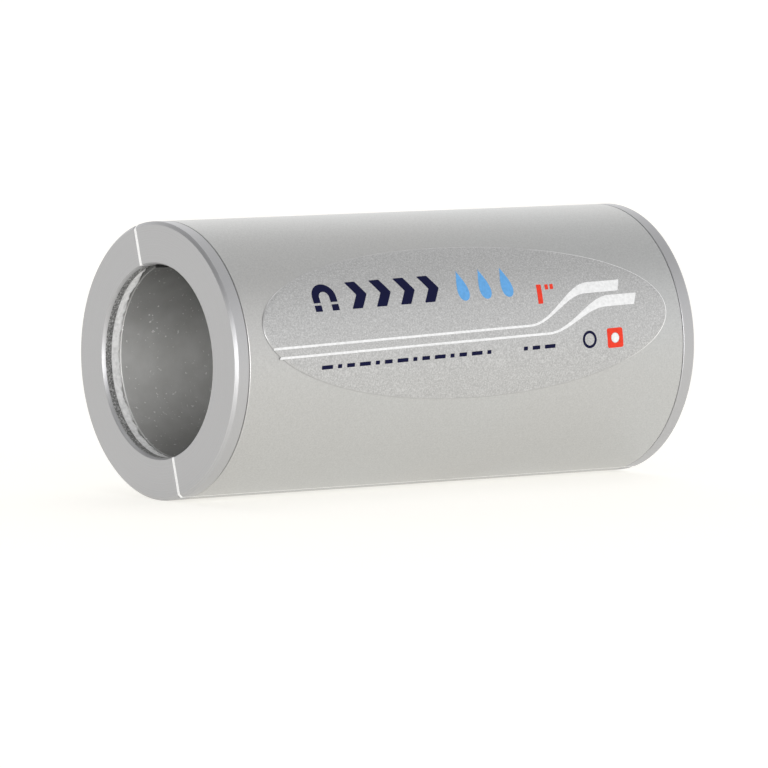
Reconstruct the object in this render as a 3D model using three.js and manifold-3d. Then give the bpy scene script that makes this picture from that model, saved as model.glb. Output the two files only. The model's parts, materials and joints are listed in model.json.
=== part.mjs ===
// A clamp-on magnetic system filter: a split sleeve that closes round a 1 inch steel heating pipe.
// Each half is an aluminium shell with a channel on its inside. The channel holds a steel yoke and four arc
// magnets in a plastic carrier, and a liner closes it on the bore side. A half ring closes each end of a half,
// with a bead of sealant behind its lip. Soft strips seal the two parting faces, two dowels line the halves up,
// and four socket head screws, sunk in the rear half, pull the halves together.
//
// Millimetres, +Z up, +X along the bore. The origin is on the bore's axis, half way along it.
import * as THREE from "three";
import { mergeVertices } from "three/addons/utils/BufferGeometryUtils.js";
import Module from "manifold-3d";

const wasm = await Module();
wasm.setup();

// Sleeve
const LENGTH = 103.4;
const OUTER_RADIUS = 25;
const BORE_RADIUS = 17.35; // a 33.7 mm steel pipe with half a millimetre to spare all round
const PARTING_TILT = THREE.MathUtils.degToRad(16.4); // the top of the parting plane leans to the rear
const PARTING_GAP = 0.85; // between the two halves, filled by the seals
const FACET = THREE.MathUtils.degToRad(5);
const SMALL_GAP = 0.05; // between pieces that touch on the real object

// End rings
const RING_THICKNESS = 2.85;
const RING_CHAMFER = 0.55;
const LIP_THICKNESS = 1.96;
const BORE_CHAMFER = 0.35;
const BORE_CHAMFER_DEPTH = 0.65;
const SPIGOT_LENGTH = 4;
const SPIGOT_INNER = 19.6;
const SPIGOT_OUTER = 23;
const SPIGOT_ANGLE = THREE.MathUtils.degToRad(44);

// Shell and its channel
const SHELL_INNER = 19;
const CHANNEL_OUTER = 23.2;
const CHANNEL_ANGLE = THREE.MathUtils.degToRad(45);

// Pieces in the channel
const YOKE_INNER = 22.2;
const YOKE_OUTER = 23.1;
const YOKE_ANGLE = THREE.MathUtils.degToRad(43);
const CARRIER_INNER = 19.05;
const CARRIER_OUTER = 22.1;
const CARRIER_ANGLE = THREE.MathUtils.degToRad(44);
const MAGNET_INNER = 19.3;
const MAGNET_OUTER = 22;
const MAGNET_ANGLE = THREE.MathUtils.degToRad(39);
const WINDOW_ANGLE = THREE.MathUtils.degToRad(40);
const MAGNETS_PER_HALF = 4;
const CARRIER_BAR = 1.6; // the carrier's walls between and beside the magnets
const MAGNET_PLAY = 0.2; // at each end of a magnet
const CHANNEL_PLAY = 0.25; // between the carrier and a ring's spigot

// Liner and sealant bead
const LINER_OUTER = 18.85;
const LINER_EDGE = 1; // height of the liner's edges over the middle of the parting gap
const BEAD_OUTER = 18.9;
const BEAD_EDGE = 0.5;
const BEAD_END = 3.85; // depth of the bead's far side below the end face

// Parting seals
const SEAL_THICKNESS = 0.75;
const SEAL_RECESS = 0.1; // of the seal's outer edge below the shell
const SEAL_INNER = 17.6; // between the ring lips
const SEAL_SCREW_HOLE = 1.6;
const SEAL_DOWEL_HOLE = 1.7;

// Label film on the front shell
const FILM_GAP = 0.06;
const FILM_THICKNESS = 0.14;
const FILM_LENGTH = 90.6;
const FILM_WIDTH = 28; // straight across, not round the shell

// Screws, washers and inserts
const SCREW_X = 38;
const SCREW_OFFSET = 21.3; // of each screw's axis from the middle plane of the bore
const SEAT_HEIGHT = 4.5; // of the washer's seat over the middle of the parting gap
const COUNTERBORE_RADIUS = 2.45;
const CLEARANCE_RADIUS = 1.45;
const WASHER_THICKNESS = 0.5;
const WASHER_OUTER = 2.3;
const HEAD_RADIUS = 2.25;
const HEAD_HEIGHT = 2.5;
const HEAD_CHAMFER = 0.25;
const SOCKET_FLATS = 2;
const SOCKET_DEPTH = 1.3;
const THREAD_RADIUS = 1.25;
const SCREW_LENGTH = 12;
const INSERT_OUTER = 1.7;
const INSERT_BORE = 1.32;
const INSERT_LENGTH = 6;
const INSERT_RECESS = 0.6;
const INSERT_HOLE_RADIUS = 1.77;
const INSERT_HOLE_DEPTH = 7.3;

// Dowels
const DOWEL_OFFSET = 21.8;
const DOWEL_RADIUS = 1.5;
const DOWEL_LENGTH = 10;
const DOWEL_REACH = 4; // into the rear half
const DOWEL_CHAMFER = 0.3;
const DOWEL_HOLE_RADIUS = 1.57;
const DOWEL_HOLE_PLAY = 0.3;

const HALF_GAP = PARTING_GAP / 2;
const FACE = LENGTH / 2;
const SHELL_END = FACE - RING_THICKNESS;
const CARRIER_END = SHELL_END - SPIGOT_LENGTH - CHANNEL_PLAY;
const HALF_TURN = Math.PI;
const ROUND_SIDES = 20;

const ALUMINIUM = { color: 0xb9bbbb, roughness: 0.42, metalness: 0.9 };
const RING_ALUMINIUM = { color: 0xb3b4b5, roughness: 0.5, metalness: 0.85 };
const MAGNET_NICKEL = { color: 0xc9c6bd, roughness: 0.25, metalness: 1 };
const YOKE_STEEL = { color: 0x8d9096, roughness: 0.4, metalness: 1 };
const CARRIER_PLASTIC = { color: 0x3a3d40, roughness: 0.6, metalness: 0 };
const LINER_PLASTIC = { color: 0x5b5b5b, roughness: 0.9, metalness: 0 };
const SEALANT = { color: 0xc9c9c7, roughness: 0.8, metalness: 0 };
const SEAL_FOAM = { color: 0xf1f1ef, roughness: 0.7, metalness: 0 };
const FILM_CLEAR = { color: 0xd5d8d6, roughness: 0.3, metalness: 0, transparent: true, opacity: 0.5 };
const SCREW_STEEL = { color: 0x9c9fa3, roughness: 0.3, metalness: 1 };
const BRASS = { color: 0xc9a254, roughness: 0.35, metalness: 1 };

// ---- Geometry and booleans ----

function toSolid(geometry) {
  const bare = geometry.clone();
  bare.deleteAttribute("normal");
  bare.deleteAttribute("uv");
  const merged = mergeVertices(bare, 1e-4);
  const mesh = new wasm.Mesh({
    numProp: 3,
    vertProperties: new Float32Array(merged.attributes.position.array),
    triVerts: new Uint32Array(merged.index.array),
  });
  return new wasm.Manifold(mesh);
}

function toGeometry(solid) {
  const mesh = solid.getMesh();
  const geometry = new THREE.BufferGeometry();
  geometry.setAttribute("position", new THREE.BufferAttribute(mesh.vertProperties, 3));
  geometry.setIndex(new THREE.BufferAttribute(mesh.triVerts, 1));
  geometry.computeVertexNormals();
  return geometry;
}

function cut(geometry, ...tools) {
  return toGeometry(tools.reduce((solid, tool) => solid.subtract(toSolid(tool)), toSolid(geometry)));
}

function join(geometry, other) {
  return toGeometry(toSolid(geometry).add(toSolid(other)));
}

function common(geometry, other) {
  return toGeometry(toSolid(geometry).intersect(toSolid(other)));
}

// Each half is drawn in its own frame: x along the bore, y square to the parting plane and z across it.
// Angles round the bore are measured from +y, the middle of the half.

const SECTION_TO_HALF = new THREE.Matrix4().makeBasis(
  new THREE.Vector3(0, 1, 0),
  new THREE.Vector3(0, 0, 1),
  new THREE.Vector3(1, 0, 0),
);

// A section drawn in (y, z), made solid from x = start to x = end.
function alongBore(points, start, end) {
  const geometry = new THREE.ExtrudeGeometry(new THREE.Shape(points), {
    depth: end - start,
    bevelEnabled: false,
  });
  return geometry.applyMatrix4(SECTION_TO_HALF).translate(start, 0, 0);
}

// Points on an arc from -angle to angle, at each facet's corner.
function arc(radius, angle) {
  const steps = Math.ceil(angle / FACET - 1e-9) - 1;
  const corners = [-angle];
  for (let i = -steps; i <= steps; i++) corners.push(i * FACET);
  corners.push(angle);
  return corners.map((a) => new THREE.Vector2(radius * Math.cos(a), radius * Math.sin(a)));
}

function sector(inner, outer, angle, start, end) {
  return alongBore([...arc(outer, angle), ...arc(inner, angle).reverse()], start, end);
}

// Half a tube whose two edges lie at a height over the middle of the parting gap.
function halfTube(inner, outer, edge, start, end) {
  const points = [
    ...arc(outer, Math.acos(edge / outer)),
    ...arc(inner, Math.acos(edge / inner)).reverse(),
  ];
  return alongBore(points, start, end);
}

// A closed profile of [radius, height] pairs, turned about +y.
function turned(profile, sides = ROUND_SIDES) {
  const points = [...profile, profile[0]].map(([radius, height]) => new THREE.Vector2(radius, height));
  return new THREE.LatheGeometry(points, sides);
}

// A cylinder about +y between two heights, at (x, z).
function rod(radius, bottom, top, x, z, sides = ROUND_SIDES) {
  const geometry = new THREE.CylinderGeometry(radius, radius, top - bottom, sides);
  return geometry.translate(x, (bottom + top) / 2, z);
}

// ---- Pieces of both halves ----

const SCREW_PLACES = [
  ["left_upper", -SCREW_X, SCREW_OFFSET],
  ["right_upper", SCREW_X, SCREW_OFFSET],
  ["left_lower", -SCREW_X, -SCREW_OFFSET],
  ["right_lower", SCREW_X, -SCREW_OFFSET],
];
const DOWEL_PLACES = [
  ["upper_dowel", DOWEL_OFFSET],
  ["lower_dowel", -DOWEL_OFFSET],
];

function shellBlank() {
  const end = SHELL_END - SMALL_GAP;
  const innerArc = arc(SHELL_INNER, Math.acos(HALF_GAP / SHELL_INNER)).reverse();
  const isBeside = (p) => Math.abs(Math.atan2(p.y, p.x)) > CHANNEL_ANGLE + 1e-6;
  const upperWall = innerArc.filter((p) => isBeside(p) && p.y > 0);
  const lowerWall = innerArc.filter((p) => isBeside(p) && p.y < 0);
  const points = [
    ...arc(OUTER_RADIUS, Math.acos(HALF_GAP / OUTER_RADIUS)),
    ...upperWall,
    arc(SHELL_INNER, CHANNEL_ANGLE).at(-1),
    ...arc(CHANNEL_OUTER, CHANNEL_ANGLE).reverse(),
    arc(SHELL_INNER, CHANNEL_ANGLE).at(0),
    ...lowerWall,
  ];
  return alongBore(points, -end, end);
}

function rearShell() {
  const tools = [];
  for (const [, x, z] of SCREW_PLACES) {
    tools.push(rod(COUNTERBORE_RADIUS, SEAT_HEIGHT, OUTER_RADIUS, x, z));
    tools.push(rod(CLEARANCE_RADIUS, 0, SEAT_HEIGHT + 1, x, z));
  }
  for (const [, z] of DOWEL_PLACES) {
    tools.push(rod(DOWEL_HOLE_RADIUS, 0, DOWEL_REACH + DOWEL_HOLE_PLAY, 0, z));
  }
  return cut(shellBlank(), ...tools);
}

function frontShell() {
  const tools = SCREW_PLACES.map(([, x, z]) => rod(INSERT_HOLE_RADIUS, 0, INSERT_HOLE_DEPTH, x, z));
  const dowelDepth = DOWEL_LENGTH - DOWEL_REACH + DOWEL_HOLE_PLAY;
  for (const [, z] of DOWEL_PLACES) tools.push(rod(DOWEL_HOLE_RADIUS, 0, dowelDepth, 0, z));
  return cut(shellBlank(), ...tools);
}

// The half ring at the +x end, with its spigot in the shell's channel.
function halfRing() {
  const lipBack = FACE - LIP_THICKNESS;
  const profile = [
    [BORE_RADIUS, lipBack],
    [SHELL_INNER, lipBack],
    [SHELL_INNER, SHELL_END],
    [OUTER_RADIUS, SHELL_END],
    [OUTER_RADIUS, FACE - RING_CHAMFER],
    [OUTER_RADIUS - RING_CHAMFER, FACE],
    [BORE_RADIUS + BORE_CHAMFER, FACE],
    [BORE_RADIUS, FACE - BORE_CHAMFER_DEPTH],
  ];
  const ringToHalf = new THREE.Matrix4().makeBasis(
    new THREE.Vector3(0, 0, 1),
    new THREE.Vector3(1, 0, 0),
    new THREE.Vector3(0, 1, 0),
  );
  const wholeRing = turned(profile, Math.round((2 * Math.PI) / FACET)).applyMatrix4(ringToHalf);
  const keep = new THREE.BoxGeometry(LENGTH, OUTER_RADIUS, 3 * OUTER_RADIUS);
  keep.translate(FACE, HALF_GAP + OUTER_RADIUS / 2, 0);
  const start = SHELL_END - SPIGOT_LENGTH;
  const spigot = sector(SPIGOT_INNER, SPIGOT_OUTER, SPIGOT_ANGLE, start, SHELL_END + LIP_THICKNESS / 2);
  return join(common(wholeRing, keep), spigot);
}

function bead() {
  return halfTube(
    BORE_RADIUS,
    BEAD_OUTER,
    BEAD_EDGE,
    FACE - BEAD_END + SMALL_GAP / 2,
    FACE - LIP_THICKNESS - SMALL_GAP,
  );
}

function liner() {
  const end = FACE - BEAD_END - SMALL_GAP;
  return halfTube(BORE_RADIUS, LINER_OUTER, LINER_EDGE, -end, end);
}

function yoke() {
  return sector(YOKE_INNER, YOKE_OUTER, YOKE_ANGLE, -CARRIER_END, CARRIER_END);
}

const MAGNET_PITCH = (2 * CARRIER_END - CARRIER_BAR) / MAGNETS_PER_HALF;
const WINDOW_LENGTH = MAGNET_PITCH - CARRIER_BAR;
const magnetMiddle = (i) => (i - (MAGNETS_PER_HALF - 1) / 2) * MAGNET_PITCH;

function carrier() {
  const windows = [];
  for (let i = 0; i < MAGNETS_PER_HALF; i++) {
    const start = magnetMiddle(i) - WINDOW_LENGTH / 2;
    windows.push(
      sector(CARRIER_INNER - 1, CARRIER_OUTER + 1, WINDOW_ANGLE, start, start + WINDOW_LENGTH),
    );
  }
  return cut(sector(CARRIER_INNER, CARRIER_OUTER, CARRIER_ANGLE, -CARRIER_END, CARRIER_END), ...windows);
}

function magnet() {
  const half = WINDOW_LENGTH / 2 - MAGNET_PLAY;
  return sector(MAGNET_INNER, MAGNET_OUTER, MAGNET_ANGLE, -half, half);
}

// ---- Seals, label film and fasteners ----

// The strip on the +z side, drawn in (x, z) and as thick as the parting gap along y.
function seal() {
  const outer = OUTER_RADIUS - SEAL_RECESS;
  const end = FACE - SMALL_GAP;
  const shoulder = SHELL_END + RING_THICKNESS - LIP_THICKNESS + SMALL_GAP;
  const half = [
    [shoulder, SHELL_INNER],
    [shoulder, SEAL_INNER],
    [end, SEAL_INNER],
    [end, outer - RING_CHAMFER],
    [end - RING_CHAMFER, outer],
  ];
  const mirrored = half.map(([x, z]) => [-x, z]).reverse();
  const points = [...half, ...mirrored].map(([x, z]) => new THREE.Vector2(x, -z));
  const strip = new THREE.ExtrudeGeometry(new THREE.Shape(points), {
    depth: SEAL_THICKNESS,
    bevelEnabled: false,
  });
  strip.rotateX(-Math.PI / 2).translate(0, -SEAL_THICKNESS / 2, 0);
  const holes = [-SCREW_X, SCREW_X].map((x) => rod(SEAL_SCREW_HOLE, -1, 1, x, SCREW_OFFSET));
  return cut(strip, ...holes, rod(SEAL_DOWEL_HOLE, -1, 1, 0, DOWEL_OFFSET));
}

function labelFilm() {
  const inner = OUTER_RADIUS + FILM_GAP;
  const skin = halfTube(inner, inner + FILM_THICKNESS, HALF_GAP, -FACE, FACE);
  const outline = new THREE.CylinderGeometry(1, 1, OUTER_RADIUS, 64);
  outline.scale(FILM_LENGTH / 2, 1, FILM_WIDTH / 2);
  outline.translate(0, OUTER_RADIUS, 0);
  return common(skin, outline);
}

// A socket head cap screw about +y, with the underside of its head at the origin.
function screw() {
  const profile = [
    [0, -SCREW_LENGTH],
    [THREAD_RADIUS - HEAD_CHAMFER, -SCREW_LENGTH],
    [THREAD_RADIUS, HEAD_CHAMFER - SCREW_LENGTH],
    [THREAD_RADIUS, 0],
    [HEAD_RADIUS, 0],
    [HEAD_RADIUS, HEAD_HEIGHT - HEAD_CHAMFER],
    [HEAD_RADIUS - HEAD_CHAMFER, HEAD_HEIGHT],
    [0, HEAD_HEIGHT],
  ];
  const blank = turned(profile);
  const corner = SOCKET_FLATS / Math.sqrt(3);
  return cut(blank, rod(corner, HEAD_HEIGHT - SOCKET_DEPTH, HEAD_HEIGHT + 1, 0, 0, 6));
}

function washer() {
  return turned([
    [CLEARANCE_RADIUS, 0],
    [WASHER_OUTER, 0],
    [WASHER_OUTER, WASHER_THICKNESS],
    [CLEARANCE_RADIUS, WASHER_THICKNESS],
  ]);
}

function insert() {
  return turned([
    [INSERT_BORE, 0],
    [INSERT_OUTER, 0],
    [INSERT_OUTER, INSERT_LENGTH],
    [INSERT_BORE, INSERT_LENGTH],
  ]);
}

function dowel() {
  return turned([
    [0, 0],
    [DOWEL_RADIUS - DOWEL_CHAMFER, 0],
    [DOWEL_RADIUS, DOWEL_CHAMFER],
    [DOWEL_RADIUS, DOWEL_LENGTH - DOWEL_CHAMFER],
    [DOWEL_RADIUS - DOWEL_CHAMFER, DOWEL_LENGTH],
    [0, DOWEL_LENGTH],
  ]);
}

// ---- Assembly ----

const filter = new THREE.Group();
const sleeve = new THREE.Group();
sleeve.rotation.x = -PARTING_TILT;
filter.add(sleeve);
const rearHalf = new THREE.Group();
const frontHalf = new THREE.Group();
frontHalf.rotation.x = HALF_TURN;
sleeve.add(rearHalf, frontHalf);

function place(group, name, geometry, look, x = 0, y = 0, z = 0) {
  const mesh = new THREE.Mesh(geometry, new THREE.MeshStandardMaterial(look));
  mesh.name = name;
  mesh.position.set(x, y, z);
  group.add(mesh);
  return mesh;
}

function placeHalf(group, half, shell) {
  place(group, `${half}_shell`, shell, ALUMINIUM);
  place(group, `${half}_liner`, liner(), LINER_PLASTIC);
  place(group, `${half}_yoke`, yoke(), YOKE_STEEL);
  place(group, `${half}_magnet_carrier`, carrier(), CARRIER_PLASTIC);
  for (let i = 0; i < MAGNETS_PER_HALF; i++) {
    place(group, `${half}_magnet_${i + 1}`, magnet(), MAGNET_NICKEL, magnetMiddle(i));
  }
  for (const [side, turn] of [["right", 0], ["left", HALF_TURN]]) {
    place(group, `${half}_${side}_ring`, halfRing(), RING_ALUMINIUM).rotation.y = turn;
    place(group, `${half}_${side}_bead`, bead(), SEALANT).rotation.y = turn;
  }
}

placeHalf(rearHalf, "rear", rearShell());
placeHalf(frontHalf, "front", frontShell());
place(frontHalf, "label_film", labelFilm(), FILM_CLEAR);

place(sleeve, "upper_seal", seal(), SEAL_FOAM);
place(sleeve, "lower_seal", seal(), SEAL_FOAM).rotation.x = HALF_TURN;

for (const [corner, x, z] of SCREW_PLACES) {
  place(sleeve, `${corner}_washer`, washer(), SCREW_STEEL, x, SEAT_HEIGHT + SMALL_GAP, z);
  const headHeight = SEAT_HEIGHT + WASHER_THICKNESS + 2 * SMALL_GAP;
  place(sleeve, `${corner}_screw`, screw(), SCREW_STEEL, x, headHeight, z);
  place(sleeve, `${corner}_insert`, insert(), BRASS, x, -INSERT_RECESS - INSERT_LENGTH, z);
}
for (const [name, z] of DOWEL_PLACES) {
  place(sleeve, name, dowel(), SCREW_STEEL, 0, DOWEL_REACH - DOWEL_LENGTH, z);
}

export default filter;
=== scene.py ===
"""The visual model of a clamp-on magnetic pipe sleeve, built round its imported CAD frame.

Pieces are drawn in millimetres in the frame of their own half: x along the bore, y out of the half and
z across it. half_space() then puts them in the row's frame, in metres. Angles round the bore start at +y.
"""

import json
from math import acos, atan2, copysign, cos, dist, hypot, pi, radians, sin, sqrt, tan

import bmesh
import bpy
from mathutils import Matrix, Vector, noise


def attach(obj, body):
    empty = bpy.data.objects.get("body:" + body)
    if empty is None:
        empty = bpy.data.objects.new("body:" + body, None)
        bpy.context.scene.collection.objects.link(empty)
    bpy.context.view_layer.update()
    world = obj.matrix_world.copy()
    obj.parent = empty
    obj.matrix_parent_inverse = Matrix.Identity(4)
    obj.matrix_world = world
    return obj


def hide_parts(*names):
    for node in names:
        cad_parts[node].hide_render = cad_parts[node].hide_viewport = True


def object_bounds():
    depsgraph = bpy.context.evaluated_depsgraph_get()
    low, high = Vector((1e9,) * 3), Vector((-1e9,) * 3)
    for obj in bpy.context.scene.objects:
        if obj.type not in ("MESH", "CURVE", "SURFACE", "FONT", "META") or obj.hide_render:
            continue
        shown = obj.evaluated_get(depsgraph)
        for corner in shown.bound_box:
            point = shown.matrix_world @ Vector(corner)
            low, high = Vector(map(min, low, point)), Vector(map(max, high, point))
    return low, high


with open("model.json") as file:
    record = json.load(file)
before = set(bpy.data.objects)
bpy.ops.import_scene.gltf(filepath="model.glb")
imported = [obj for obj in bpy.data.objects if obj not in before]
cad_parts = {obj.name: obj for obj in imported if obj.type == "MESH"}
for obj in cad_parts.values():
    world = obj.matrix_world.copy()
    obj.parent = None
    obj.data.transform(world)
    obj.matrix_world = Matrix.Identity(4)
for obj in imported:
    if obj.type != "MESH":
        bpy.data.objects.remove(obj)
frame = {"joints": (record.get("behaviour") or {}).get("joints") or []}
cad_low, cad_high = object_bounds()

# ---- Driving dimensions, in millimetres ----

MM = 0.001
FACE = cad_high.x / MM  # from the middle of the sleeve to an end face
OUTER = 25.0
BORE = 17.35
HALF_GAP = 0.425  # from the middle of the parting gap to a shell's edge
TOUCH = 0.04  # left between pieces that touch
BEYOND = 1.0  # how far a cutter reaches past the piece that it cuts

TURN = 2 * pi
FINE = radians(1.5)  # between the columns of a turned surface
SHARP = radians(32)  # an edge that turns by more than this is shaded sharp
EASING = 0.12  # radius that takes the sharpness off a machined corner

SHELL_BEVEL = 0.1
RING_BEVEL = 0.06
RING_STEP = radians(1)
RING_THICKNESS = 2.85
RING_CHAMFER = 0.55
LIP_THICKNESS = 1.96
LIP_EASING = 0.08
BORE_CHAMFER = 0.35
BORE_CHAMFER_DEPTH = 0.65
BORE_EASING = 0.1
JOINT_CHAMFER = 0.14  # on both sides of the joint between a ring and the shell
JOINT_SLOT = 0.11
SPIGOT_LENGTH = 4.0
SPIGOT_INNER = 19.6
SPIGOT_OUTER = 23.0
SPIGOT_ANGLE = radians(44)
SPIGOT_EASING = 0.3
SPIGOT_BEVEL = 0.2

SHELL_INNER = 19.0
CHANNEL_OUTER = 23.2
CHANNEL_ANGLE = radians(45)
SHELL_END = FACE - RING_THICKNESS

# Inner radius, outer radius and half angle of the arcs in a shell's channel.
YOKE = (22.2, 23.1, radians(43))
CARRIER = (19.05, 22.1, radians(44))
MAGNET = (19.3, 22.0, radians(39))
YOKE_EASING = 0.15
CARRIER_EASING = 0.25
MAGNET_EASING = 0.3
WINDOW_ANGLE = radians(40)
WINDOW_BEVEL = 0.01
CARRIER_PLAY = 0.25
CARRIER_END = SHELL_END - SPIGOT_LENGTH - CARRIER_PLAY
CARRIER_BAR = 1.6
MAGNETS_PER_HALF = 4
MAGNET_PITCH = (2 * CARRIER_END - CARRIER_BAR) / MAGNETS_PER_HALF
MAGNET_MIDDLES = [(i - (MAGNETS_PER_HALF - 1) / 2) * MAGNET_PITCH for i in range(MAGNETS_PER_HALF)]
WINDOW_LENGTH = MAGNET_PITCH - CARRIER_BAR
MAGNET_PLAY = 0.2

LINER_OUTER = 18.85
LINER_EDGE = 1.0  # from the parting plane to the liner's edge
LINER_EASING = 0.15
LINER_PAINTED_SHADOW = 0.14  # height of the near-black painted shadow along each split edge
BEAD_OUTER = 18.9
BEAD_EDGE = 0.5
BEAD_END = 3.85  # from an end face to the bead's far edge
BEAD_BEVEL = 0.1
BEAD_EASING = [0.35, 0.1, 0.1, 0.12]
BEAD_SPACING = 0.3  # between the points of its profile
BEAD_STEP = radians(0.8)
BEAD_SHORTFALLS = {  # degrees that a bead stops short of the split, at each of its ends
    ("rear", "left"): (8, 2),
    ("rear", "right"): (4, 7),
    ("front", "left"): (3, 22),
    ("front", "right"): (9, 3),
}
BEAD_SPLIT = radians(87)  # where a bead that reached the split would end
BEAD_TAPER = radians(14)
BEAD_THINNING = 0.55  # share of its width that a tapered end loses
BEAD_SQUEEZE = 0.04  # share that is left of what would lie past its end
BEAD_BULGE = 0.1  # the most that its far edge spreads over the liner
BEAD_RECESS = 0.12  # of its inner face behind the bore
BEAD_WAVES = ((0.45, 0.55), (0.22, 1.9))  # size and fineness of what its far edge does
BEAD_LUMPS = (0.16, 1.4)
BEAD_SEEDS = {"rear": 3.1, "front": 11.7, "left": 0.0, "right": 23.0}

SEAL_THICKNESS = 0.8
SEAL_RECESS = 0.07
SEAL_INNER = 17.6
SEAL_BEVEL = 0.08
SEAL_SCREW_HOLE = 1.6
SEAL_DOWEL_HOLE = 1.7

FILM_RADIUS = 25.06
FILM_THICKNESS = 0.12
FILM_HALF_LENGTH = 45.3
FILM_HALF_ARC = 14.8  # measured round the shell
FILM_RIM = 0.22  # width of the film's sloping rim
FILM_MIDDLE = 0.004  # share of its size where its rings of points start
FILM_RINGS = 36
FILM_COLUMNS = 160
INK_THICKNESS = 0.02
INK_GAP = 0.002  # between the film and the print
INK_SLICES = 56  # cuts that let the flat print bend round the film

SEAT_HEIGHT = 4.5
COUNTERBORE = 2.45
RIM_CHAMFER = 0.3
RIM_COLUMNS = 56
CLEARANCE = 1.45
HOLE_FLARE = 0.22  # chamfer at the mouth of a hole
HOLE_COLUMNS = 40
WASHER_OUTER = 2.3
WASHER_THICKNESS = 0.5
WASHER_EASING = 0.08
WASHER_GAP = 0.05  # under the washer, and between it and the screw's head
HEAD_RADIUS = 2.25
HEAD_HEIGHT = 2.5
SCREW_COLUMNS = 64
SOCKET_FLATS = 2.0
SOCKET_DEPTH = 1.3
SOCKET_CHAMFER = 0.12
THREAD_RADIUS = 1.25
THREAD_PITCH = 0.45
THREAD_DEPTH = 0.24
THREAD_ROWS = 8  # rows of points in each turn of a thread
THREAD_FADE_IN = 0.35
THREAD_FADE_OUT = 0.6
KNURL_DEPTH = 0.06
SCREW_LENGTH = 12.0
NECK = 0.3  # of plain shank under the screw's head
INSERT_OUTER = 1.7
INSERT_BORE = 1.32
INSERT_LENGTH = 6.0
INSERT_RECESS = 0.6
INSERT_HOLE = 1.77
INSERT_HOLE_DEPTH = 7.3
INSERT_COLUMNS = 48
INSERT_THREAD_DEPTH = 0.1
INSERT_THREAD_ROWS = 6
INSERT_KNURL_DEPTH = 0.1
INSERT_BAND = 0.5  # plain band at each end of the knurl
INSERT_CHAMFER = 0.1
DOWEL_OFFSET = 21.8
DOWEL_RADIUS = 1.5
DOWEL_LENGTH = 10.0
DOWEL_REACH = 4.0
DOWEL_HOLE = 1.57
DOWEL_SPARE = 0.3  # room beyond a dowel's end
DOWEL_COLUMNS = 48

# ---- Frames ----

JOINTS = {j["name"]: j for j in frame["joints"]}
X_AXIS = Vector((1, 0, 0))
OUT = Vector(JOINTS["left_upper_screw_turn"]["axis"]).normalized()
ACROSS = X_AXIS.cross(OUT)


def half_space(sign):
    """Half-frame millimetres to row-frame metres, for the rear half (1) or the front half (-1)."""
    axes = Matrix((X_AXIS, sign * OUT, sign * ACROSS)).transposed().to_4x4()
    return axes @ Matrix.Scale(MM, 4)


SPACES = {"rear": half_space(1), "front": half_space(-1)}


def screw_places():
    """(corner name, x, z) of each screw's axis in the rear half's frame, read from its joint."""
    places = []
    for name, joint in JOINTS.items():
        if name.endswith("_screw_turn"):
            at = Vector(joint["pos_m"]) / MM
            places.append((name.removesuffix("_screw_turn"), at.x, at.dot(ACROSS)))
    return places


SCREWS = screw_places()

# ---- Outlines ----


def arc_points(center, radius, start, end, count):
    """Points along an arc, both ends among them."""
    turns = [start + (end - start) * i / count for i in range(count + 1)]
    return [(center[0] + radius * cos(a), center[1] + radius * sin(a)) for a in turns]


def full_turn(count):
    """The angles of equal steps round a full turn."""
    return [TURN * k / count for k in range(count)]


def oblong(left, right, bottom, top):
    """The four corners of an upright oblong."""
    return [(left, bottom), (left, top), (right, top), (right, bottom)]


def rounded(points, radius, segments=3):
    """A closed outline with its corners rounded. radius is one number, or one for each corner."""
    nearly_straight = radians(170)
    longest = 0.45  # share of a side that one corner may take
    radii = radius if isinstance(radius, list) else [radius] * len(points)
    outline = []
    for i, (point, size) in enumerate(zip(points, radii)):
        corner = Vector(point)
        back = Vector(points[i - 1]) - corner
        ahead = Vector(points[(i + 1) % len(points)]) - corner
        opening = back.angle(ahead)
        if size <= 0 or opening > nearly_straight:
            outline.append(tuple(corner))
            continue
        reach = min(size / tan(opening / 2), longest * back.length, longest * ahead.length)
        bisector = (back.normalized() + ahead.normalized()).normalized()
        center = corner + bisector * (reach / cos(opening / 2))
        first = corner + back.normalized() * reach - center
        last = corner + ahead.normalized() * reach - center
        sweep = first.angle_signed(last)
        for k in range(segments + 1):
            turned = first.copy()
            turned.rotate(Matrix.Rotation(-sweep * k / segments, 2))
            outline.append(tuple(center + turned))
    return outline


def inset(points, distance):
    """The outline moved inwards by a small distance."""
    sharpest = 0.3  # keeps a very sharp corner from running away
    area = sum(a[0] * b[1] - b[0] * a[1] for a, b in zip(points, points[1:] + points[:1]))
    side = 1 if area > 0 else -1
    moved = []
    for i, point in enumerate(points):
        here = Vector(point)
        before = (here - Vector(points[i - 1])).normalized()
        after = (Vector(points[(i + 1) % len(points)]) - here).normalized()
        first = Vector((-before.y, before.x)) * side
        second = Vector((-after.y, after.x)) * side
        scale = distance / max(1 + first.dot(second), sharpest)
        moved.append(tuple(here + (first + second) * scale))
    return moved


def clamped(share):
    """A share kept between 0 and 1."""
    return min(1.0, max(0.0, share))


def eased(share):
    """0 to 1, with a slow start and a slow end."""
    share = clamped(share)
    return share * share * (3 - 2 * share)


def round_bore(x, radius, turn):
    """A point at a turn round the bore."""
    return (x, radius * cos(turn), radius * sin(turn))


def edge_steps(bevel):
    """(inset, distance back from the end) pairs that round an end over, from its cap inwards."""
    segments = 3
    turns = [pi / 2 * (1 - k / segments) for k in range(segments + 1)]
    return [(bevel * (1 - cos(a)), bevel * (1 - sin(a))) for a in turns]


# ---- Meshes ----


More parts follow.
